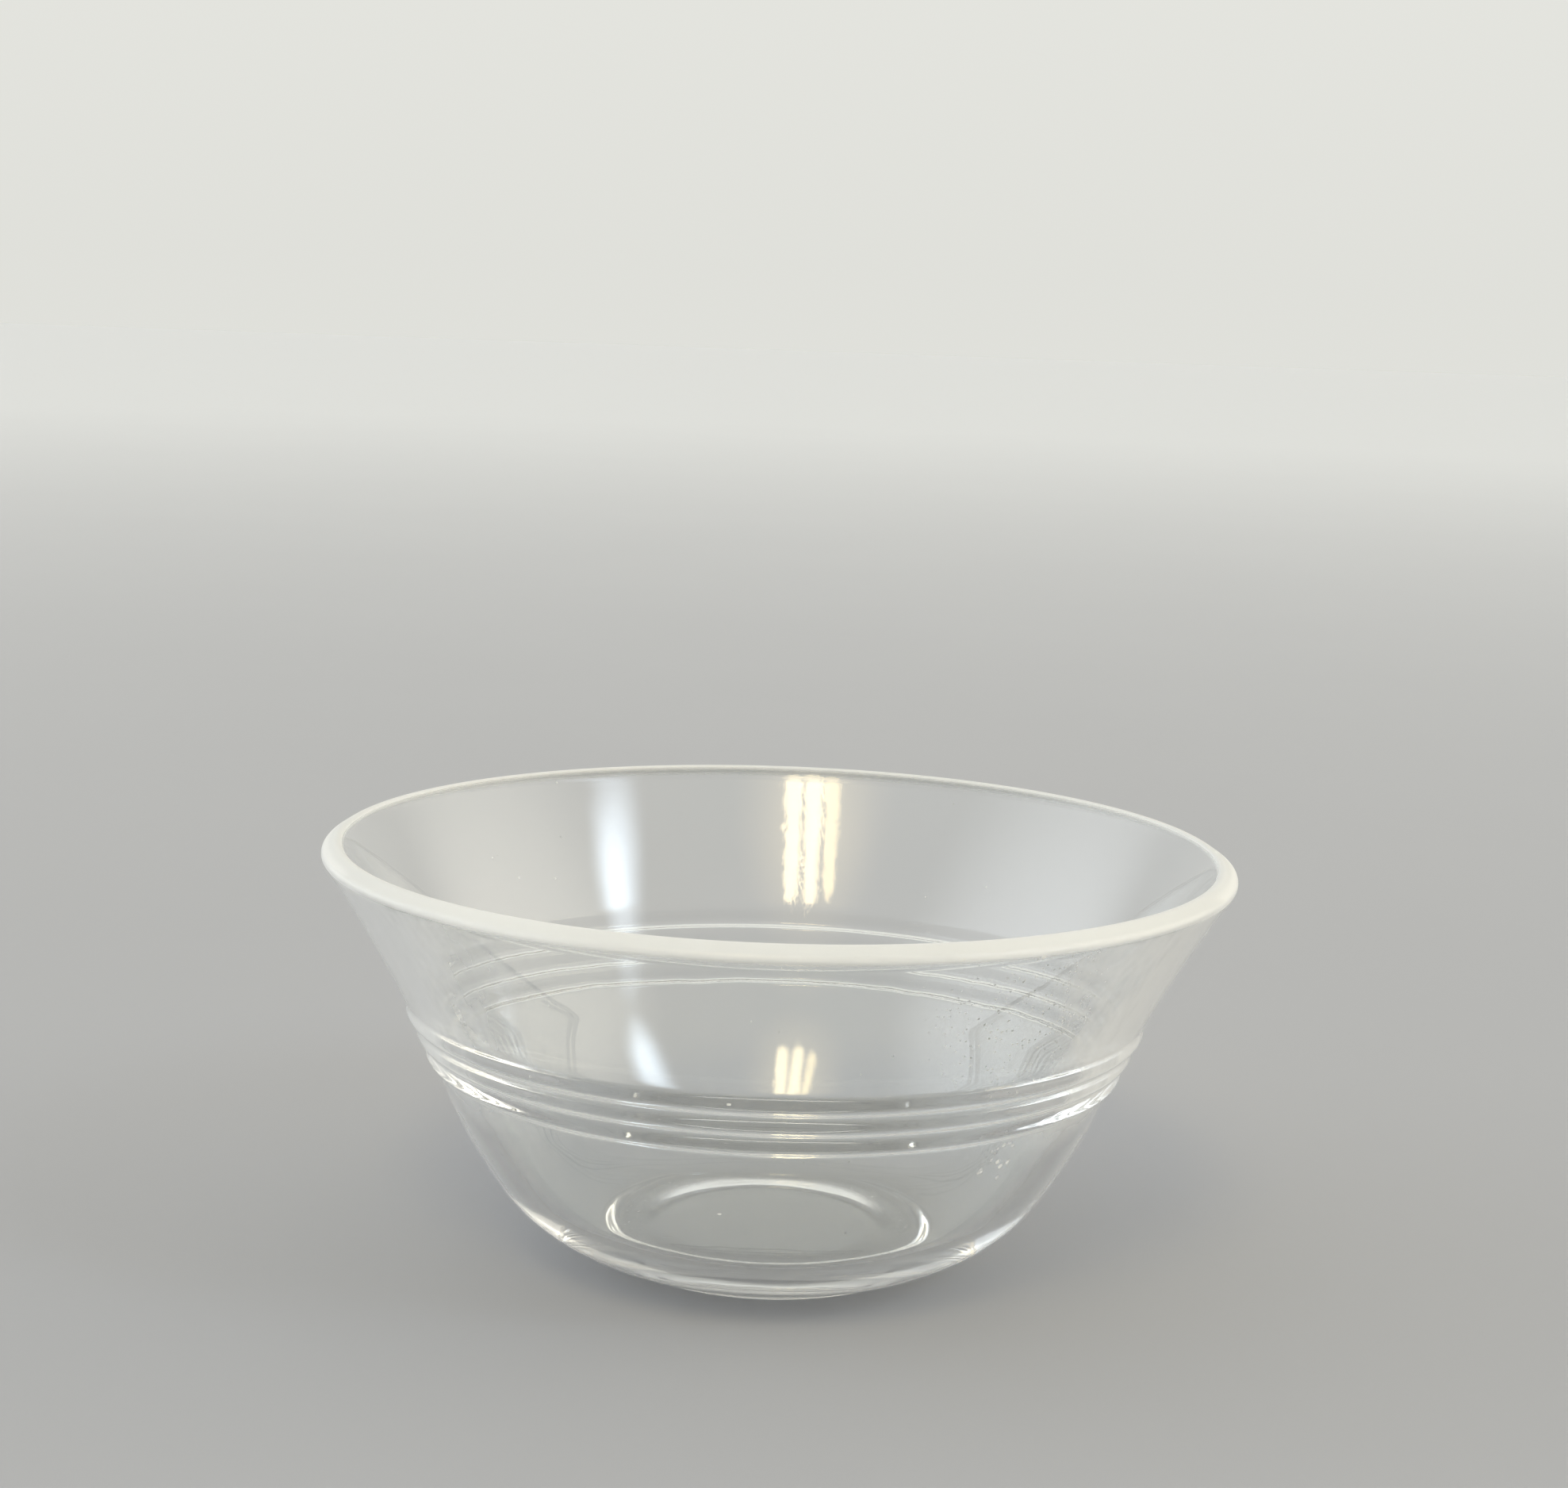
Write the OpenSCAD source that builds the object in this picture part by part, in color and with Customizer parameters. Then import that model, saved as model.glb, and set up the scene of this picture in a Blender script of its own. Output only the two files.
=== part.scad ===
// Prep bowl: one clear pressed-glass moulding, turned about its upright axis.
// The outside is a chain of arcs that run into each other without a corner: a flared upper wall that
// carries a band of rings, a round belly and a heel that turns under to the foot. The inside is smooth.
// A lean is the angle of the wall from upright, and a point of the section is [radius, height].

/* [Overall] */
// Outer diameter across the lip
rim_d = 110; // [96:1:132]
// Height from the table to the top of the lip
bowl_h = 51.2; // [46:0.1:60]

/* [Wall] */
// Thickness of the wall from the lip down to the heel
wall_t = 2.9; // [2:0.1:4]
// Height of the flat floor inside the bowl
floor_h = 4.3; // [3:0.1:6]
// Lean of the wall where it ends at the lip
lip_lean = 33.5; // [28:0.5:38]
// Rounding of the two edges of the lip
lip_edge_r = 0.9; // [0.4:0.05:1.3]
// Radius of the outward sweep of the upper wall
flare_r = 164; // [130:1:220]
// Height where the outward sweep turns into the round belly
waist_h = 21.6; // [19:0.1:24]
// Radius of the belly
belly_r = 61; // [52:0.5:72]
// Lean of the wall where the belly turns into the tighter heel
heel_lean = 35; // [32:0.5:38]

/* [Ring band] */
// Number of raised rings
ring_count = 3; // [1:1:4]
// Height of the top of the uppermost ring
band_top_h = 32.6; // [30:0.1:36]
// Height that one ring takes up
ring_pitch = 2.6; // [2:0.1:3.5]
// How far the crest of a ring stands out from the wall
ring_crest = 0.55; // [0.3:0.05:1]
// How far the groove between two rings stands out from the wall
groove_crest = 0.18; // [0.05:0.01:0.25]

/* [Foot] */
// Diameter of the outer edge of the flat ring that the bowl stands on
foot_d = 36.4; // [32:0.2:42]
// Width of that flat ring
foot_flat_w = 1; // [0.6:0.1:2]
// Rounding of the outer side of the foot, next to the flat ring
foot_round_r = 3.3; // [1:0.1:4.5]
// Radius of the hollow curve that joins the foot to the heel
foot_fillet_r = 3.3; // [1:0.1:4.5]
// Height above the table at which the heel would run level
base_h = 0.6; // [0.4:0.05:1.4]
// Width of the soft slope from the flat ring up into the hollow
slope_w = 5.3; // [3:0.1:7]
// Depth of the hollow inside the foot
hollow_h = 0.4; // [0.2:0.05:1]

/* [Hidden] */

$fn = 120;
glass_tint = [0.86, 0.90, 0.90, 0.35];
quarter_turn = 90;
half_turn = 180;
arc_steps = 14;
edge_steps = 6;
ring_steps = 12;
// The rounding of the lip takes up less than half of the wall
lip_share = 0.48;
// The power that moves a ring's crest below its middle, for a long upper face and a short lower one
ring_skew = 2;

// Direction out of a wall at a lean, a point in that direction, and an arc of such points
function outward(lean) = [cos(lean), -sin(lean)];
function along(start, reach, lean) = start + reach * outward(lean);
function arc(centre, r, from, to, steps, first = 0) =
    [for (i = [first:steps]) along(centre, r, from + (to - from) * i / steps)];
function arc_on(centre, r, from, to, steps) = arc(centre, r, from, to, steps, 1);

// Lip: the wall ends square to its lean, with both edges rounded
lip_r = min(lip_edge_r, lip_share * wall_t);
lip_flat = wall_t - 2 * lip_r;
lip_outer_c = [rim_d / 2 - lip_r, bowl_h - lip_r - lip_flat * sin(lip_lean)];
lip_inner_c = along(lip_outer_c, -lip_flat, lip_lean);

// Flare: its centre lies outside the bowl, so its points are at a negative reach from it
flare_c = along(lip_outer_c, lip_r + flare_r, lip_lean);
function flare_lean(h) = asin((h - flare_c[1]) / flare_r);
waist_lean = flare_lean(waist_h);

// Belly and heel: each centre lies on the line square to the wall where the arc begins
belly_c = along(flare_c, -(flare_r + belly_r), waist_lean);
heel_top = along(belly_c, belly_r, heel_lean);
heel_r = (heel_top[1] - base_h) / (1 - sin(heel_lean));
heel_c = along(heel_top, -heel_r, heel_lean);

// Inside of the heel: it carries on from the inside of the belly and runs out level into the floor
inner_heel_top = along(belly_c, belly_r - wall_t, heel_lean);
inner_heel_r = (inner_heel_top[1] - floor_h) / (1 - sin(heel_lean));
inner_heel_c = along(inner_heel_top, -inner_heel_r, heel_lean);

// Foot: a round side and a hollow curve lead from the flat ring up to the heel, or to the level line
// inside it where the heel lies farther out, and meet at the steepest place, the foot's turn
foot_side_c = [foot_d / 2, foot_round_r];
foot_reach = foot_round_r + foot_fillet_r;
level_turn = acos(1 - min(base_h, foot_reach) / foot_reach);
to_heel = [foot_side_c[0] - heel_c[0], heel_c[1] - foot_side_c[1]];
heel_reach = heel_r + foot_fillet_r;
heel_gap = norm(to_heel);
heel_cos = (pow(heel_reach, 2) - pow(heel_gap, 2) - pow(foot_reach, 2)) / (2 * foot_reach * heel_gap);
on_heel = foot_side_c[0] + foot_reach * sin(level_turn) > heel_c[0];
foot_turn = on_heel ? atan2(to_heel[0], to_heel[1]) + acos(min(heel_cos, 1)) : level_turn;
fillet_c = along(foot_side_c, foot_reach, quarter_turn - foot_turn);
foot_lean = on_heel ? atan2(heel_c[1] - fillet_c[1], fillet_c[0] - heel_c[0]) : quarter_turn;

// Hollow: two equal arcs make an S from the flat ring up to a level middle
slope_turn = 2 * atan(hollow_h / slope_w);
slope_r = (pow(slope_w, 2) + pow(hollow_h, 2)) / (4 * hollow_h);
slope_low_c = [foot_side_c[0] - foot_flat_w, slope_r];
slope_top_c = [slope_low_c[0] - slope_w, hollow_h - slope_r];

// How far ring i stands out at a share of its height: a skewed wave on the line between its grooves
function ring_base(i, share) =
    let (top = i == 0 ? 0 : groove_crest, low = i == ring_count - 1 ? 0 : groove_crest)
    top + (low - top) * share;
function ring_out(i, share) =
    let (base = ring_base(i, share))
    base + (ring_crest - base) * sin(half_turn * pow(share, ring_skew));
function ring_point(i, share) =
    along(flare_c, ring_out(i, share) - flare_r, flare_lean(band_top_h - ring_pitch * (i + share)));

module bowl_section() {
    band_low_h = band_top_h - ring_count * ring_pitch;
    lip = concat(
        arc_on(lip_inner_c, lip_r, lip_lean - half_turn, lip_lean - quarter_turn, edge_steps),
        arc(lip_outer_c, lip_r, lip_lean - quarter_turn, lip_lean, edge_steps));
    flare = arc_on(flare_c, -flare_r, lip_lean, flare_lean(band_top_h), arc_steps);
    rings = [for (i = [0:ring_count - 1]) for (k = [1:ring_steps]) ring_point(i, k / ring_steps)];
    below_rings = arc_on(flare_c, -flare_r, flare_lean(band_low_h), waist_lean, edge_steps);
    belly = arc_on(belly_c, belly_r, waist_lean, heel_lean, arc_steps);
    heel = arc_on(heel_c, heel_r, heel_lean, foot_lean, arc_steps);
    foot = concat(
        arc_on(fillet_c, foot_fillet_r, foot_lean - half_turn, -quarter_turn - foot_turn, edge_steps),
        arc_on(foot_side_c, foot_round_r, quarter_turn - foot_turn, quarter_turn, edge_steps));
    hollow = concat(
        arc(slope_low_c, slope_r, quarter_turn, quarter_turn + slope_turn, edge_steps),
        arc_on(slope_top_c, slope_r, slope_turn - quarter_turn, -quarter_turn, edge_steps));
    middle = [[0, hollow_h], [0, floor_h]];
    inner_heel = arc(inner_heel_c, inner_heel_r, quarter_turn, heel_lean, arc_steps);
    inner_belly = arc_on(belly_c, belly_r - wall_t, heel_lean, waist_lean, arc_steps);
    inner_flare = arc_on(flare_c, -(flare_r + wall_t), waist_lean, lip_lean, arc_steps);
    polygon(concat(lip, flare, rings, below_rings, belly, heel, foot, hollow, middle,
        inner_heel, inner_belly, inner_flare));
}

module bowl() {
    color(glass_tint) rotate_extrude() bowl_section();
}

bowl();
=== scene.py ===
# %% [markdown]
# # A pressed-glass prep bowl
# The bowl is one piece of clear glass: a rounded lip, a flared wall, a band of raised rings, a round
# lower wall and a low foot. This lesson turns one section line into the bowl, gives it a glass with
# faint signs of use, and sets it on a pale studio floor.

from math import acos, asin, atan, atan2, cos, degrees, hypot, pi, radians, sin

import bpy
from mathutils import Matrix, Vector


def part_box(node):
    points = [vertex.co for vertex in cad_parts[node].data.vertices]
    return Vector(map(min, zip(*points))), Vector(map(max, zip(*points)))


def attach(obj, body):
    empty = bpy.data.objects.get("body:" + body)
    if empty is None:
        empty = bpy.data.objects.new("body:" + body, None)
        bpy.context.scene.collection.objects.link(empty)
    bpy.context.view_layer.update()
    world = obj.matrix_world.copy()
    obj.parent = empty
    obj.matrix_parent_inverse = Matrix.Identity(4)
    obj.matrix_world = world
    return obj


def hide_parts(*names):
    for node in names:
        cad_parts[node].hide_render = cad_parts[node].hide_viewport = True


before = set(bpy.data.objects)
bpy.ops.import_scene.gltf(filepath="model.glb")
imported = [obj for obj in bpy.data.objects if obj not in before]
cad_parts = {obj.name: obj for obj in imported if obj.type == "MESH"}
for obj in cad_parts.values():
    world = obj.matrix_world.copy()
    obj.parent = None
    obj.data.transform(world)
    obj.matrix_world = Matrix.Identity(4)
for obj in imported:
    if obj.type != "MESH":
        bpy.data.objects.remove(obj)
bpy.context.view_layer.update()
MM = 0.001
print("nodes:", sorted(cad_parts))

# %% [markdown]
# ## The camera
# A picture taken from close by bends a round rim into a fuller curve at the front than at the back.
# The place below was found by fitting circles to the rim, the rings and the foot of the pictured bowl.
# A camera can be aimed by a constraint, but a matrix made of its three directions also holds the
# slight tilt to one side, so that is used here.

# %% Camera
IMAGE_WIDTH_PX = 1977
FOCAL_PX = 3602
CAMERA_AWAY = 339.7 * MM
CAMERA_HIGH = 119.6 * MM
CAMERA_PITCH = radians(9.43)
CAMERA_ROLL = radians(1.99)
CLIP_START = 10 * MM

camera_data = bpy.data.cameras.new("camera")
camera_data.sensor_fit = "HORIZONTAL"
camera_data.lens = camera_data.sensor_width * FOCAL_PX / IMAGE_WIDTH_PX
camera_data.clip_start = CLIP_START
camera = bpy.data.objects.new("camera", camera_data)
bpy.context.scene.collection.objects.link(camera)
forward = Vector((0, cos(CAMERA_PITCH), -sin(CAMERA_PITCH)))
level_right = Vector((1, 0, 0))
level_up = level_right.cross(forward)
right = level_right * cos(CAMERA_ROLL) + level_up * sin(CAMERA_ROLL)
up = level_up * cos(CAMERA_ROLL) - level_right * sin(CAMERA_ROLL)
turn = Matrix((right, up, -forward)).transposed().to_4x4()
camera.matrix_world = Matrix.Translation((0, -CAMERA_AWAY, CAMERA_HIGH)) @ turn
bpy.context.scene.camera = camera
print("camera lens:", round(camera_data.lens, 1), "mm")

# %% [markdown]
# ## The section line
# A turned shape is fully told by half of its section. It could be drawn by hand as a Bezier curve, but
# glass shows every uneven bend, so the line is worked out as arcs that run into each other without a
# corner: lip, flare, belly and heel outside, and their offsets inside. A lean is the wall's angle from
# upright. The lip's radius and height come from the frame, so the piece fills the same space.

# %% Sizes of the wall
low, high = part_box("bowl")
RIM_R = min(high.x - low.x, high.y - low.y) / 2
BOWL_H = high.z
WALL_T = 2.9 * MM
FLOOR_H = 4.3 * MM
LIP_R = 0.9 * MM
LIP_LEAN = radians(33.5)
FLARE_R = 164 * MM
WAIST_H = 21.6 * MM
BELLY_R = 61 * MM
HEEL_LEAN = radians(35)
BASE_H = 0.6 * MM
QUARTER = pi / 2


def along(start, reach, lean):
    """Point at a reach from start, in the direction that a wall of this lean faces."""
    return Vector((start[0] + reach * cos(lean), start[1] - reach * sin(lean)))


def arc(centre, radius, first, last, steps):
    """Points of an arc, from the lean first to the lean last."""
    return [along(centre, radius, first + (last - first) * i / steps) for i in range(steps + 1)]


print("lip:", round(RIM_R / MM, 1), "mm from the axis,", round(BOWL_H / MM, 1), "mm high")

# %% The arcs of the wall
lip_flat = WALL_T - 2 * LIP_R
lip_outer_c = Vector((RIM_R - LIP_R, BOWL_H - LIP_R - lip_flat * sin(LIP_LEAN)))
lip_inner_c = along(lip_outer_c, -lip_flat, LIP_LEAN)
flare_c = along(lip_outer_c, LIP_R + FLARE_R, LIP_LEAN)


def flare_lean(height):
    """Lean of the flared wall at a height."""
    return asin((height - flare_c[1]) / FLARE_R)


def heel_from(top, bottom_h):
    """Centre and radius of the arc that leaves top at the heel's lean and ends level at bottom_h."""
    radius = (top[1] - bottom_h) / (1 - sin(HEEL_LEAN))
    return along(top, -radius, HEEL_LEAN), radius


waist_lean = flare_lean(WAIST_H)
belly_c = along(flare_c, -(FLARE_R + BELLY_R), waist_lean)
heel_c, heel_r = heel_from(along(belly_c, BELLY_R, HEEL_LEAN), BASE_H)
inner_heel_c, inner_heel_r = heel_from(along(belly_c, BELLY_R - WALL_T, HEEL_LEAN), FLOOR_H)
print("waist lean:", round(degrees(waist_lean), 1), "degrees")
print("heel radius:", round(heel_r / MM, 1), "mm")

# %% [markdown]
# ## The foot
# The bowl stands on a narrow flat ring. Outside it the glass rises in a round side and a hollow curve
# to the heel, and inside it in a soft slope to a shallow hollow, made of two equal arcs that form an
# S. A sharp turned foot would be simpler, but only these soft curves draw what shows through the floor
# of the bowl: a fine oval in front and a broad pale arc at the back.

# %% The arcs of the foot
FOOT_R = 18.2 * MM
FLAT_W = 1 * MM
FOOT_ROUND = 3.3 * MM
FILLET_R = 3.3 * MM
SLOPE_W = 5.3 * MM
HOLLOW_H = 0.4 * MM

foot_c = Vector((FOOT_R, FOOT_ROUND))
foot_reach = FOOT_ROUND + FILLET_R
across, down = foot_c[0] - heel_c[0], heel_c[1] - foot_c[1]
gap = hypot(across, down)
heel_cos = ((heel_r + FILLET_R) ** 2 - gap ** 2 - foot_reach ** 2) / (2 * foot_reach * gap)
foot_turn = atan2(across, down) + acos(heel_cos)
fillet_c = along(foot_c, foot_reach, QUARTER - foot_turn)
foot_lean = atan2(heel_c[1] - fillet_c[1], fillet_c[0] - heel_c[0])
slope_turn = 2 * atan(HOLLOW_H / SLOPE_W)
slope_r = (SLOPE_W ** 2 + HOLLOW_H ** 2) / (4 * HOLLOW_H)
slope_low_c = (FOOT_R - FLAT_W, slope_r)
slope_top_c = (slope_low_c[0] - SLOPE_W, HOLLOW_H - slope_r)
print("steepest place of the foot:", round(degrees(foot_turn), 1), "degrees, of the slope:",
      round(degrees(slope_turn), 1), "degrees")

# %% [markdown]
# ## The rings
# Each raised ring is the wall pushed out by a wave. A plain sine wave would give round cords, while the
# real rings have a long upper face and a short lower one, so the wave is skewed by a power.

# %% Ring points
RING_COUNT = 3
BAND_TOP_H = 32.6 * MM
RING_PITCH = 2.6 * MM
RING_CREST = 0.55 * MM
GROOVE_CREST = 0.18 * MM
RING_SKEW = 2
RING_STEPS = 28


def ring_point(i, share):
    """Point of ring i at a share of its height, counted from its top."""
    top = 0 if i == 0 else GROOVE_CREST
    bottom = 0 if i == RING_COUNT - 1 else GROOVE_CREST
    base = top + (bottom - top) * share
    out = base + (RING_CREST - base) * sin(pi * share ** RING_SKEW)
    return along(flare_c, out - FLARE_R, flare_lean(BAND_TOP_H - RING_PITCH * (i + share)))


rings = [ring_point(i, k / RING_STEPS) for i in range(RING_COUNT) for k in range(1, RING_STEPS)]
band_low_h = BAND_TOP_H - RING_COUNT * RING_PITCH
print("ring points:", len(rings))

# %% [markdown]
# ## The whole section line
# The arcs are strung together from the middle of the hollow, round the outside and over the lip, to the
# middle of the floor. The two level faces get a point just inside their rim, because the shading of a
# long flat face would otherwise be bent by the curve next to it.

# %% Section points
LONG_STEPS, SHORT_STEPS = 24, 8
NEAR_RIM_SHARE = 0.97
WELD_DISTANCE = 0.001 * MM

section = [Vector((share * slope_top_c[0], HOLLOW_H)) for share in (0, NEAR_RIM_SHARE)]
section += arc(slope_top_c, slope_r, -QUARTER, slope_turn - QUARTER, SHORT_STEPS)
section += arc(slope_low_c, slope_r, QUARTER + slope_turn, QUARTER, SHORT_STEPS)
section += arc(foot_c, FOOT_ROUND, QUARTER, QUARTER - foot_turn, SHORT_STEPS)
section += arc(fillet_c, FILLET_R, -QUARTER - foot_turn, foot_lean - pi, SHORT_STEPS)
section += arc(heel_c, heel_r, foot_lean, HEEL_LEAN, LONG_STEPS)
section += arc(belly_c, BELLY_R, HEEL_LEAN, waist_lean, LONG_STEPS)
section += arc(flare_c, -FLARE_R, waist_lean, flare_lean(band_low_h), SHORT_STEPS)
section += rings[::-1]
section += arc(flare_c, -FLARE_R, flare_lean(BAND_TOP_H), LIP_LEAN, LONG_STEPS)
section += arc(lip_outer_c, LIP_R, LIP_LEAN, LIP_LEAN - QUARTER, SHORT_STEPS)
section += arc(lip_inner_c, LIP_R, LIP_LEAN - QUARTER, LIP_LEAN - pi, SHORT_STEPS)
section += arc(flare_c, -(FLARE_R + WALL_T), LIP_LEAN, waist_lean, LONG_STEPS)
section += arc(belly_c, BELLY_R - WALL_T, waist_lean, HEEL_LEAN, LONG_STEPS)
section += arc(inner_heel_c, inner_heel_r, HEEL_LEAN, QUARTER, LONG_STEPS)
section += [Vector((share * inner_heel_c[0], FLOOR_H)) for share in (NEAR_RIM_SHARE, 0)]
section = [point for i, point in enumerate(section)
           if i == 0 or (point - section[i - 1]).length > WELD_DISTANCE]
print("section points:", len(section))

# %% [markdown]
# ## The lathe
# A Screw modifier or bmesh's spin could turn the section. A Geometry Nodes tree is used because it
# keeps the number of segments and the weld as named inputs: the section is swept along a circle, the
# points on the axis are welded into closed poles, and the faces are shaded smooth.

# %% Lathe tree
LATHE_R = 10 * MM


def put(tree, kind, inputs, **settings):
    """Adds a node to a tree. Each input is a value to set or another node's output to link."""
    node = tree.nodes.new(kind)
    for name, value in settings.items():
        setattr(node, name, value)
    for name, value in inputs.items():
        if isinstance(value, bpy.types.NodeSocket):
            tree.links.new(value, node.inputs[name])
        else:
            node.inputs[name].default_value = value
    return node


def lathe_tree():
    """Tree that sweeps a section curve round the upright axis and closes its poles."""
    tree = bpy.data.node_groups.new("bowl_lathe", "GeometryNodeTree")
    kinds = {"Section": "Object", "Segments": "Int", "Lathe radius": "Float",
             "Weld distance": "Float", "Glass": "Material"}
    for name, kind in kinds.items():
        tree.interface.new_socket(name, in_out="INPUT", socket_type="NodeSocket" + kind)
    tree.interface.new_socket("Geometry", in_out="OUTPUT", socket_type="NodeSocketGeometry")
    given = put(tree, "NodeGroupInput", {}).outputs
    line = put(tree, "GeometryNodeObjectInfo", {"Object": given["Section"]})
    circle = put(tree, "GeometryNodeCurvePrimitiveCircle",
                 {"Resolution": given["Segments"], "Radius": given["Lathe radius"]})
    sweep = put(tree, "GeometryNodeCurveToMesh",
                {"Curve": circle.outputs["Curve"], "Profile Curve": line.outputs["Geometry"]})
    weld = put(tree, "GeometryNodeMergeByDistance",
               {"Geometry": sweep.outputs["Mesh"], "Distance": given["Weld distance"]})
    smooth = put(tree, "GeometryNodeSetShadeSmooth", {"Geometry": weld.outputs["Geometry"]})
    realize = put(tree, "GeometryNodeRealizeInstances", {"Geometry": smooth.outputs["Geometry"]})
    finish = put(tree, "GeometryNodeSetMaterial",
                 {"Geometry": realize.outputs["Geometry"], "Material": given["Glass"]})
    put(tree, "NodeGroupOutput", {"Geometry": finish.outputs["Geometry"]})
    return tree


print("lathe radius:", round(LATHE_R / MM, 1), "mm")

# %% [markdown]
# ## The glass
# Clear glass is a smooth shell that bends light, so most of its look comes from the shape and the light.
# What tells real glass from a perfect one is small: pressed glass keeps a soft ripple from the mould,
# the lip and the foot are a little dull from use, a thin film lies on the outside, and there are dried
# specks and a few flecks. Pictures could carry these marks, but patterns worked out from the place on
# the bowl have no seam and need no file.

# %% Helpers for the glass
ORIGIN = (0, 0, 0)


def noise(tree, place, scale, detail=2.0, roughness=0.5):
    """Soft random pattern, with a number of features along a length of 1."""
    inputs = {"Vector": place, "Scale": scale, "Detail": detail, "Roughness": roughness}
    return put(tree, "ShaderNodeTexNoise", inputs).outputs["Fac"]


def fade(tree, value, start, end, last=1.0, kind="LINEAR"):
    """Goes from 0 to last while value goes from start to end, and stays there."""
    inputs = {"Value": value, "From Min": start, "From Max": end, "To Max": last}
    return put(tree, "ShaderNodeMapRange", inputs, interpolation_type=kind).outputs["Result"]


def count(tree, operation, a, b):
    """Result of a Math node for two numbers."""
    return put(tree, "ShaderNodeMath", {0: a, 1: b}, operation=operation).outputs["Value"]


def distance(tree, place, centre):
    """How far a spot lies from a point."""
    node = put(tree, "ShaderNodeVectorMath", {0: place, 1: centre}, operation="DISTANCE")
    return node.outputs["Value"]


def radius_and_height(tree, place):
    """How far a spot lies from the axis of the bowl, and how high."""
    parts = put(tree, "ShaderNodeSeparateXYZ", {"Vector": place}).outputs
    flat = put(tree, "ShaderNodeCombineXYZ", {"X": parts["X"], "Y": parts["Y"]}).outputs["Vector"]
    return distance(tree, flat, ORIGIN), parts["Z"]


# %% [markdown]
# ### Ripple
# The ripple is only some hundredths of a millimetre deep. It runs up the wall, as hot glass does in a
# mould, and it bends the edges of the bright reflections.

# %% Ripple
RIPPLE_DEPTH = 0.035 * MM
RIPPLE_SCALE = 95
RIPPLE_STRETCH = (1, 1, 0.35)
RIPPLE_ROUGHNESS = 0.4


def stretched(tree, place, scale):
    """Place for a pattern that is drawn out along an axis where its scale is small."""
    return put(tree, "ShaderNodeMapping", {"Vector": place, "Scale": scale}).outputs["Vector"]


def ripple(tree, place):
    """Normal of a surface with soft waves that run up the wall."""
    drawn = stretched(tree, place, RIPPLE_STRETCH)
    waves = noise(tree, drawn, RIPPLE_SCALE, roughness=RIPPLE_ROUGHNESS)
    inputs = {"Height": waves, "Strength": 1.0, "Distance": RIPPLE_DEPTH}
    return put(tree, "ShaderNodeBump", inputs).outputs["Normal"]


print("ripple:", round(RIPPLE_DEPTH / MM, 3), "mm deep")

# %% [markdown]
# ### Wear
# The roughness is close to nothing on most of the wall. It is higher in a few hazy patches, on the lip
# and under the foot, where the flat has rubbed on tables. The lip is found by how far a point lies up
# the slope of the wall.

# %% Wear
LIP_ROUGH = 0.35
LIP_FADE = (1.3 * LIP_R, 0.6 * LIP_R)
FOOT_ROUGH = 0.4
FOOT_FADE_H = (0.3 * MM, 0.02 * MM)
RUB_SCALE = 1800
HAZE_ROUGH = 0.035
HAZE_SCALE, HAZE_DETAIL = 42, 4
HAZE_FADE = (0.52, 0.72)


def lip_part(tree, radius, height):
    """1 on the round of the lip and 0 on the wall."""
    up_slope = count(tree, "ADD", count(tree, "MULTIPLY", radius, sin(LIP_LEAN)),
                     count(tree, "MULTIPLY", height, cos(LIP_LEAN)))
    lip_end = lip_outer_c[0] * sin(LIP_LEAN) + lip_outer_c[1] * cos(LIP_LEAN) + LIP_R
    return fade(tree, up_slope, *(lip_end - below for below in LIP_FADE))


def wear(tree, place, height, on_lip):
    """Roughness of the glass."""
    under = fade(tree, height, *FOOT_FADE_H, FOOT_ROUGH)
    rubbed = count(tree, "MULTIPLY", under, noise(tree, place, RUB_SCALE))
    hazy = fade(tree, noise(tree, place, HAZE_SCALE, HAZE_DETAIL), *HAZE_FADE, HAZE_ROUGH)
    dull = count(tree, "MAXIMUM", count(tree, "MULTIPLY", on_lip, LIP_ROUGH), rubbed)
    return count(tree, "MAXIMUM", dull, hazy)


print("roughness of the lip:", LIP_ROUGH, "of hazy patches:", HAZE_ROUGH)

# %% [markdown]
# ### Film
# Washing leaves a thin film on the outside. It hardly shows where the wall is seen straight on, and it
# is milky where the wall is seen at a slant, near the outline of the bowl. The band is broad and
# streaky on the flare and narrow on the belly. A sheen all over would whiten the inside too, so the
# outside is told from the inside by how far a spot lies from the centre of the flare or of the belly.
# Each film has the slant where it starts, the slant where it is full, and how milky it gets.

# %% Film
FLARE_FILM = (0.62, 0.92, 0.56)
BELLY_FILM = (0.72, 0.95, 0.5)
FILM_CHANGE_H = (20 * MM, 27 * MM)
STREAK_SCALE, STREAK_SHARE = 210, 0.36
STREAK_STRETCH = (1, 1, 0.15)
SLANT_BLEND = 0.5


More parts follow.
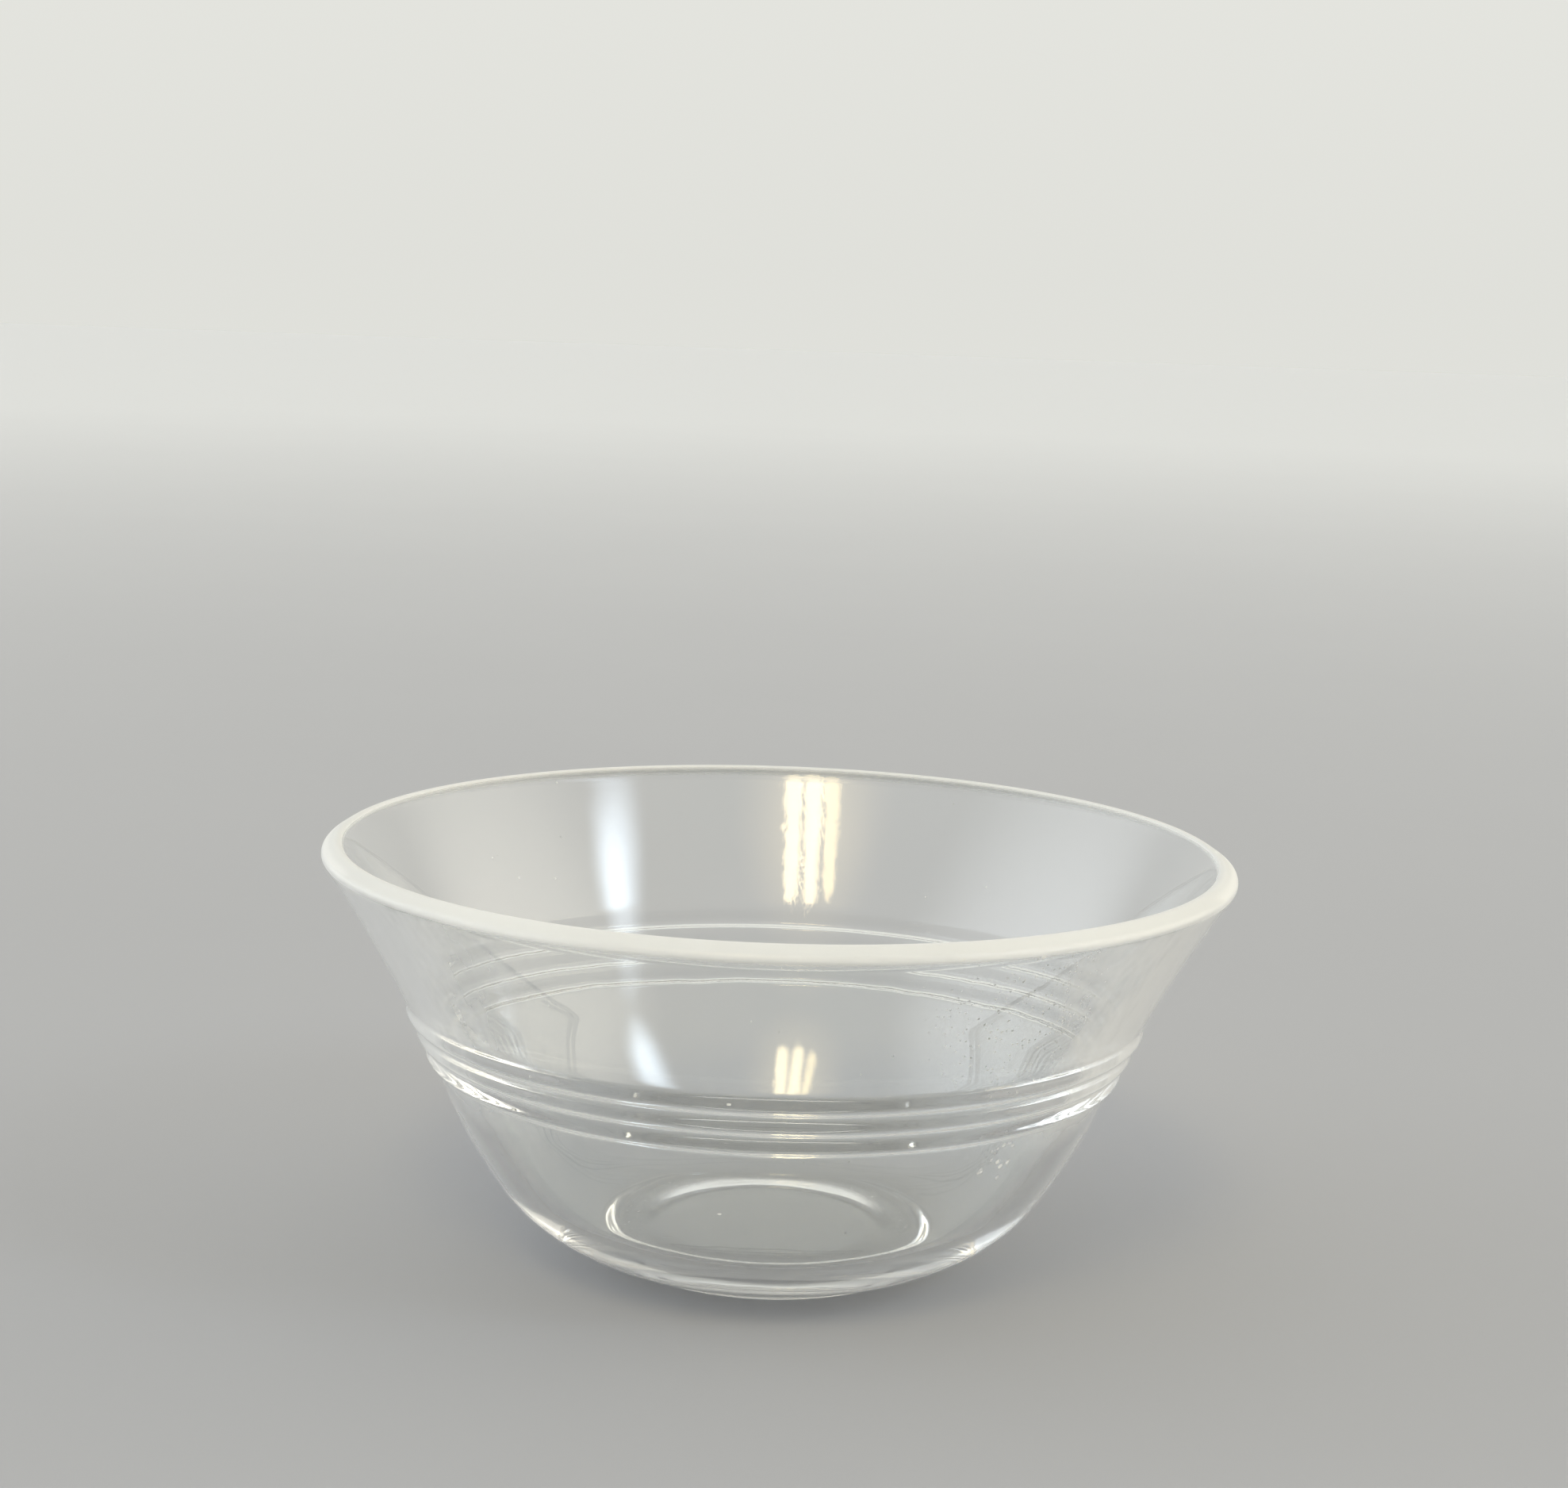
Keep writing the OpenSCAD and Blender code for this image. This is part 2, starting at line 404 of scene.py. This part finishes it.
def film(tree, place, radius, height):
    """How milky the film makes a spot."""
    spot = put(tree, "ShaderNodeCombineXYZ", {"X": radius, "Y": height}).outputs["Vector"]
    to_flare_c, to_belly_c = (distance(tree, spot, (*centre, 0)) for centre in (flare_c, belly_c))
    out_flare = count(tree, "LESS_THAN", to_flare_c, FLARE_R + WALL_T / 2)
    out_belly = count(tree, "GREATER_THAN", to_belly_c, BELLY_R - WALL_T / 2)
    on_flare = count(tree, "MULTIPLY", out_flare, fade(tree, height, *FILM_CHANGE_H))
    on_belly = count(tree, "MULTIPLY", out_belly, fade(tree, height, *reversed(FILM_CHANGE_H)))
    slant = put(tree, "ShaderNodeLayerWeight", {"Blend": SLANT_BLEND}).outputs["Facing"]
    drawn = stretched(tree, place, STREAK_STRETCH)
    streaks = count(tree, "MULTIPLY", noise(tree, drawn, STREAK_SCALE), STREAK_SHARE)
    broad = fade(tree, count(tree, "ADD", slant, streaks), *FLARE_FILM, "SMOOTHSTEP")
    narrow = fade(tree, slant, *BELLY_FILM, "SMOOTHSTEP")
    return count(tree, "MAXIMUM", count(tree, "MULTIPLY", on_flare, broad),
                 count(tree, "MULTIPLY", on_belly, narrow))


print("most milky, flare:", FLARE_FILM[-1], "belly:", BELLY_FILM[-1])

# %% [markdown]
# ### Specks and flecks
# Dried specks lie in two patches on the right of the front wall. They are the middles of Voronoi cells,
# thinned by each cell's own random number. The flecks are single spots in the lip and in the floor.
# Each kind of speck has its number to the metre, its size in the cell and the share that is kept.

# %% Specks and flecks
HAZE_PATCH = (Vector((28.5, -41.5, 41.5)) * MM, 15 * MM)
DRIED_PATCH = (Vector((25.4, -31.1, 21.7)) * MM, 3.5 * MM)
PATCH_CORE, SPECK_CORE, FLECK_CORE = 0.3, 0.5, 0.6
FINE_SPECKS, DRIED_SPECKS, DUST = (1600, 0.26, 0.3), (900, 0.42, 0.6), (260, 0.05, 0.25)
DUST_SHARE = 0.3
FLECKS = [(Vector((-6.6, -55.2, 50.3)) * MM, 0.4 * MM),
          (Vector((19.5, -51.7, 49.8)) * MM, 0.45 * MM),
          (Vector((28.1, -47.2, 49.3)) * MM, 0.4 * MM),
          (Vector((-6, -1, 4.3)) * MM, 0.35 * MM)]


def near(tree, place, centre, reach, core_share=PATCH_CORE):
    """1 near a point, falling to 0 at a reach from it."""
    return fade(tree, distance(tree, place, centre), reach, core_share * reach)


def specks(tree, place, scale, size_share, kept_share):
    """Round spots, one in the middle of each kept cell."""
    cells = put(tree, "ShaderNodeTexVoronoi", {"Vector": place, "Scale": scale}).outputs
    spot = fade(tree, cells["Distance"], size_share, SPECK_CORE * size_share)
    luck = put(tree, "ShaderNodeSeparateColor", {"Color": cells["Color"]}).outputs["Red"]
    return count(tree, "MULTIPLY", spot, count(tree, "LESS_THAN", luck, kept_share))


def marks(tree, place):
    """How far a spot of the surface is covered by a speck or a fleck."""
    fine, dried, loose = (specks(tree, place, *kind) for kind in (FINE_SPECKS, DRIED_SPECKS, DUST))
    fine = count(tree, "MULTIPLY", fine, near(tree, place, *HAZE_PATCH))
    dried = count(tree, "MULTIPLY", dried, near(tree, place, *DRIED_PATCH))
    dust = count(tree, "MULTIPLY", loose, DUST_SHARE)
    covered = count(tree, "MAXIMUM", count(tree, "MAXIMUM", fine, dried), dust)
    for centre, reach in FLECKS:
        covered = count(tree, "MAXIMUM", covered, near(tree, place, centre, reach, FLECK_CORE))
    return covered


print("flecks:", len(FLECKS))

# %% [markdown]
# ### Putting the glass together
# A mark takes away the clearness of the glass and leaves a pale, dull spot. The film is milky in the
# same way. The lip is made milky white too, as a painted glow: it stands in for the light that runs up
# inside the wall and leaves at the lip, while its dullness is real wear. The body colour drifts by one
# or two parts in a hundred, as it does where the wall was pressed a little thicker. A mix of two shaders
# could do it, but one Principled shader with a falling Transmission Weight keeps the same gloss
# everywhere.

# %% Clear glass
GLASS_IOR = 1.5
PALE_TINT, DEEP_TINT = (0.995, 0.997, 0.993, 1), (0.97, 0.985, 0.978, 1)
TINT_SCALE = 60
# Pale colour of the marks and the film, and of the painted glow on the lip.
MARK_FILM_AND_LIP_GLOW_COLOUR = (0.93, 0.925, 0.9, 1)
MARK_CLEAR, MARK_ROUGH = 0.7, 0.5
# How milky white the lip is painted: a painted glow for the light that runs up inside the wall and
# leaves at the lip.
LIP_PAINTED_GLOW = 0.44


def blend(tree, share, first, second, kind="MIX"):
    """Colour between two colours, or a share of the second laid over the first in another way.
    The sockets of a Mix node share their names, so those for colours go by number."""
    sockets = {0: share, 6: first, 7: second}
    mix = put(tree, "ShaderNodeMix", sockets, data_type="RGBA", blend_type=kind)
    return mix.outputs[2]


def clear_glass():
    """Material of the bowl."""
    material = bpy.data.materials.new("clear_glass")
    material.use_nodes = True
    tree = material.node_tree
    place = put(tree, "ShaderNodeTexCoord", {}).outputs["Object"]
    radius, height = radius_and_height(tree, place)
    on_lip = lip_part(tree, radius, height)
    # The lip's milky white is a painted glow for light leaving the lip from inside the wall; only its
    # roughness is real wear.
    lip_painted_glow = count(tree, "MULTIPLY", on_lip, LIP_PAINTED_GLOW)
    milky = count(tree, "MAXIMUM", film(tree, place, radius, height), lip_painted_glow)
    spots = marks(tree, place)
    covered = count(tree, "MAXIMUM", spots, milky)
    tint = blend(tree, noise(tree, place, TINT_SCALE), PALE_TINT, DEEP_TINT)
    worn = wear(tree, place, height, on_lip)
    dull = count(tree, "MAXIMUM", worn, count(tree, "MULTIPLY", spots, MARK_ROUGH))
    shader = tree.nodes["Principled BSDF"]
    tree.links.new(blend(tree, covered, tint, MARK_FILM_AND_LIP_GLOW_COLOUR), shader.inputs["Base Color"])
    tree.links.new(dull, shader.inputs["Roughness"])
    tree.links.new(fade(tree, covered, MARK_CLEAR, 0), shader.inputs["Transmission Weight"])
    tree.links.new(ripple(tree, place), shader.inputs["Normal"])
    shader.inputs["IOR"].default_value = GLASS_IOR
    return material


glass = clear_glass()
print("glass nodes:", len(glass.node_tree.nodes))

# %% [markdown]
# ## Turning the bowl
# The section becomes a curve, and the tree turns it. The result is copied out as a plain mesh, and its
# signed volume shows that the faces point out of the glass.

# %% Section as a curve
curve_data = bpy.data.curves.new("bowl_section", "CURVE")
curve_data.dimensions = "3D"
spline = curve_data.splines.new("POLY")
spline.points.add(len(section) - 1)
for point, (radius, height) in zip(spline.points, reversed(section)):
    point.co = (radius - LATHE_R, -height, 0, 1)
section_line = bpy.data.objects.new("bowl_section", curve_data)
bpy.context.scene.collection.objects.link(section_line)
print("points of the curve:", len(spline.points))

# %% Turn the bowl
SEGMENTS = 300

blank = bpy.data.objects.new("bowl_blank", bpy.data.meshes.new("bowl_blank"))
bpy.context.scene.collection.objects.link(blank)
lathe = blank.modifiers.new("lathe", "NODES")
lathe.node_group = lathe_tree()
tree_sockets = lathe.node_group.interface.items_tree
sockets = {s.name: s.identifier for s in tree_sockets if s.in_out == "INPUT"}
lathe[sockets["Section"]] = section_line
lathe[sockets["Segments"]] = SEGMENTS
lathe[sockets["Lathe radius"]] = LATHE_R
lathe[sockets["Weld distance"]] = WELD_DISTANCE
lathe[sockets["Glass"]] = glass
bpy.context.view_layer.update()
turned = blank.evaluated_get(bpy.context.evaluated_depsgraph_get())
bowl_mesh = bpy.data.meshes.new_from_object(turned)
blank.modifiers.remove(lathe)
for helper in (section_line, blank):
    bpy.data.objects.remove(helper)
bowl = bpy.data.objects.new("glass_bowl", bowl_mesh)
bpy.context.scene.collection.objects.link(bowl)
print("points of the bowl:", len(bowl_mesh.vertices))


# %% Measure it and hand it to the frame
def volume_of(mesh):
    """Signed volume of a closed mesh: positive when its faces point outwards."""
    mesh.calc_loop_triangles()
    corners = [[mesh.vertices[i].co for i in t.vertices] for t in mesh.loop_triangles]
    return sum(a.dot(b.cross(c)) for a, b, c in corners) / 6


print("volume:", round(volume_of(bowl_mesh) / MM ** 3), "mm3")
print("triangles:", len(bowl_mesh.loop_triangles))
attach(bowl, "root")
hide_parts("bowl")

# %% [markdown]
# ## The floor
# A wide pale sheet, light grey near the bowl and paler far off, up to the tone of the dome at the
# horizon. It lies a hair's breadth under the foot, because two faces in the very same place let light
# through at random.

# %% Floor
FLOOR_REACH = 4
FLOOR_DROP = 0.03 * MM
FLOOR_NEAR, FLOOR_FAR = (0.41, 0.416, 0.445, 1), (0.675, 0.69, 0.72, 1)
FLOOR_PALES = (0.05, 2.1)
GRAIN_SCALE, GRAIN_DETAIL, GRAIN_SHARE = 9, 4, 0.06
SHEET_ROUGH = 0.8
SQUARE = ((-1, -1), (1, -1), (1, 1), (-1, 1))

floor_mesh = bpy.data.meshes.new("floor")
corners = [(x * FLOOR_REACH, y * FLOOR_REACH, -FLOOR_DROP) for x, y in SQUARE]
floor_mesh.from_pydata(corners, [], [(0, 1, 2, 3)])
floor = bpy.data.objects.new("floor", floor_mesh)
bpy.context.scene.collection.objects.link(floor)

sheet = bpy.data.materials.new("pale_sheet")
sheet.use_nodes = True
sheet_tree = sheet.node_tree
sheet_place = put(sheet_tree, "ShaderNodeTexCoord", {}).outputs["Object"]
sheet_away = distance(sheet_tree, sheet_place, ORIGIN)
sheet_noise = noise(sheet_tree, sheet_place, GRAIN_SCALE, GRAIN_DETAIL)
sheet_grain = count(sheet_tree, "MULTIPLY", sheet_noise, GRAIN_SHARE)
sheet_paleness = fade(sheet_tree, sheet_away, *FLOOR_PALES, kind="SMOOTHSTEP")
sheet_share = count(sheet_tree, "ADD", sheet_paleness, sheet_grain)
sheet_colour = blend(sheet_tree, sheet_share, FLOOR_NEAR, FLOOR_FAR)
sheet_shader = sheet_tree.nodes["Principled BSDF"]
sheet_tree.links.new(sheet_colour, sheet_shader.inputs["Base Color"])
sheet_shader.inputs["Roughness"].default_value = SHEET_ROUGH
floor_mesh.materials.append(sheet)
print("floor:", 2 * FLOOR_REACH, "m across")

# %% [markdown]
# ## The light
# The world is a soft, nearly even dome, a little cooler on the left and warmer on the right. It is a
# pattern worked out from the direction of each ray: a ramp from the horizon to overhead, times a tint
# from side to side. The Light Path node takes the tint away for the camera, which sees a plain backdrop
# with the tone of the far floor.

# %% Dome
DOME = [(0.0, 0.78), (0.3, 0.88), (1.0, 0.95)]
COOL_SIDE, WARM_SIDE = (0.91, 0.965, 1, 1), (1, 0.95, 0.81, 1)

world = bpy.data.worlds.new("dome")
world.use_nodes = True
bpy.context.scene.world = world
world_tree = world.node_tree
ray = put(world_tree, "ShaderNodeTexCoord", {}).outputs["Generated"]
ray_parts = put(world_tree, "ShaderNodeSeparateXYZ", {"Vector": ray}).outputs
ramp = put(world_tree, "ShaderNodeValToRGB", {"Fac": ray_parts["Z"]})
steps = ramp.color_ramp.elements
for position, _ in DOME[1:-1]:
    steps.new(position)
for step, (position, tone) in zip(steps, DOME):
    step.position = position
    step.color = (tone, tone, tone, 1)
path = put(world_tree, "ShaderNodeLightPath", {}).outputs
off_camera = count(world_tree, "SUBTRACT", 1, path["Is Camera Ray"])
sideways = count(world_tree, "MULTIPLY", ray_parts["X"], off_camera)
side = blend(world_tree, fade(world_tree, sideways, -1, 1), COOL_SIDE, WARM_SIDE)
sky = blend(world_tree, 1.0, ramp.outputs["Color"], side, "MULTIPLY")
print("dome steps:", len(steps))

# %% [markdown]
# ### Two reflections
# The wall mirrors two lights: a cool one as a soft upright streak, and a warm one as three bars in a
# halo. Area lamps could leave them, but their hard edges show as clean bars in the glass. Ovals and
# bars drawn into the dome can fade out, and noise makes the outline of the bars a little uneven. Each
# has its azimuth, elevation, half width and half height, and then its colour.

# %% Ovals
COOL_OVAL = ((61, 40, 0.15, 0.27), (5.6, 6.4, 7.2, 1))
WARM_HALO = ((-12, 50, 0.36, 0.36), (2.4, 1.95, 1.1, 1))
OVALS = (COOL_OVAL, WARM_HALO)


def offsets(tree, ray, azimuth, elevation, half_width, half_height):
    """How far a ray points to the side of a place in the dome and above it, in half widths and half
    heights. The place is an azimuth from the camera's side and an elevation, in degrees."""
    azimuth, elevation = radians(azimuth), radians(elevation)
    across = Vector((cos(azimuth), sin(azimuth), 0))
    inward = Vector((-sin(azimuth), cos(azimuth), 0))
    upward = inward * sin(elevation) + Vector((0, 0, cos(elevation)))
    parts = [put(tree, "ShaderNodeVectorMath", {0: ray, 1: axis}, operation="DOT_PRODUCT")
             for axis in (across / half_width, upward / half_height)]
    return [part.outputs["Value"] for part in parts]


def oval(tree, ray, *place):
    """1 in the middle of an oval of the dome, fading to 0 at its edge."""
    aside, above = offsets(tree, ray, *place)
    spot = put(tree, "ShaderNodeCombineXYZ", {"X": aside, "Y": above}).outputs["Vector"]
    return fade(tree, distance(tree, spot, ORIGIN), 1, 0, kind="SMOOTHSTEP")


for place, colour in OVALS:
    sky = blend(world_tree, oval(world_tree, ray, *place), sky, colour, "ADD")
print("ovals in the dome:", len(OVALS))

# %% Bars
BARS = [((-4.5, 50, 0.046, 0.17), (9, 7.6, 4.6, 1)),
        ((-12, 50, 0.048, 0.18), (9, 7.6, 4.6, 1)),
        ((-19, 50, 0.038, 0.16), (6.5, 5.3, 2.8, 1))]
UNEVEN_SCALE, UNEVEN_SHARE = 85, 1.6
BAR_FADE = (1.8, 1.2)


def bar(tree, ray, azimuth, elevation, half_width, half_height):
    """1 inside an upright bar of the dome, fading to 0 at its uneven outline and round ends."""
    aside, above = offsets(tree, ray, azimuth, elevation, half_width, half_width)
    straight = half_height / half_width - 1
    up_or_down = count(tree, "ABSOLUTE", above, 0)
    past = count(tree, "MAXIMUM", count(tree, "SUBTRACT", up_or_down, straight), 0)
    spot = put(tree, "ShaderNodeCombineXYZ", {"X": aside, "Y": past}).outputs["Vector"]
    uneven = count(tree, "MULTIPLY", noise(tree, ray, UNEVEN_SCALE), UNEVEN_SHARE)
    away = count(tree, "ADD", distance(tree, spot, ORIGIN), uneven)
    return fade(tree, away, *BAR_FADE, kind="SMOOTHSTEP")


for place, colour in BARS:
    sky = blend(world_tree, bar(world_tree, ray, *place), sky, colour, "ADD")
world_tree.links.new(sky, world_tree.nodes["Background"].inputs["Color"])
print("bars in the dome:", len(BARS))

# %% [markdown]
# ### Level of the light
# What falls on the floor and on the film is kept at a plain level, at which a colour looks as it is
# written. The dome that is seen, also through the glass and mirrored in it, stays as pale as a studio
# wall. Light Path tells these rays apart too. A soft glow on either side lights the film and the ends
# of the rings, and the camera doesn't see it.

# %% Level
SIDE_GLOW = (0.6, 0.95, 2.2)
LIGHT_LEVEL = 0.78

in_glass = count(world_tree, "MAXIMUM", path["Is Glossy Ray"], path["Is Transmission Ray"])
in_view = count(world_tree, "MAXIMUM", path["Is Camera Ray"], in_glass)
not_scattered = count(world_tree, "LESS_THAN", path["Diffuse Depth"], 1)
seen = count(world_tree, "MULTIPLY", in_view, not_scattered)
level = count(world_tree, "MAXIMUM", seen, LIGHT_LEVEL)
to_side = count(world_tree, "ABSOLUTE", sideways, 0)
side_glow = fade(world_tree, to_side, *SIDE_GLOW, "SMOOTHSTEP")
strength = count(world_tree, "MULTIPLY", count(world_tree, "ADD", side_glow, 1), level)
world_tree.links.new(strength, world_tree.nodes["Background"].inputs["Strength"])
bpy.context.scene.view_settings.view_transform = "Standard"
print("dome nodes:", len(world_tree.nodes))

# %% [markdown]
# ## Light inside the wall
# Light that enters the wall runs up inside it, bouncing from face to face, and leaves at the lip. That
# is why the lip of a clear bowl is its brightest line. A ray needs some tens of bounces for it, and
# fewer would leave the lip dark.

# %% Bounces
ALL_BOUNCES, FACE_BOUNCES = 48, 40

cycles = bpy.context.scene.cycles
cycles.max_bounces = ALL_BOUNCES
cycles.glossy_bounces = FACE_BOUNCES
cycles.transmission_bounces = FACE_BOUNCES
print("bounces:", ALL_BOUNCES)
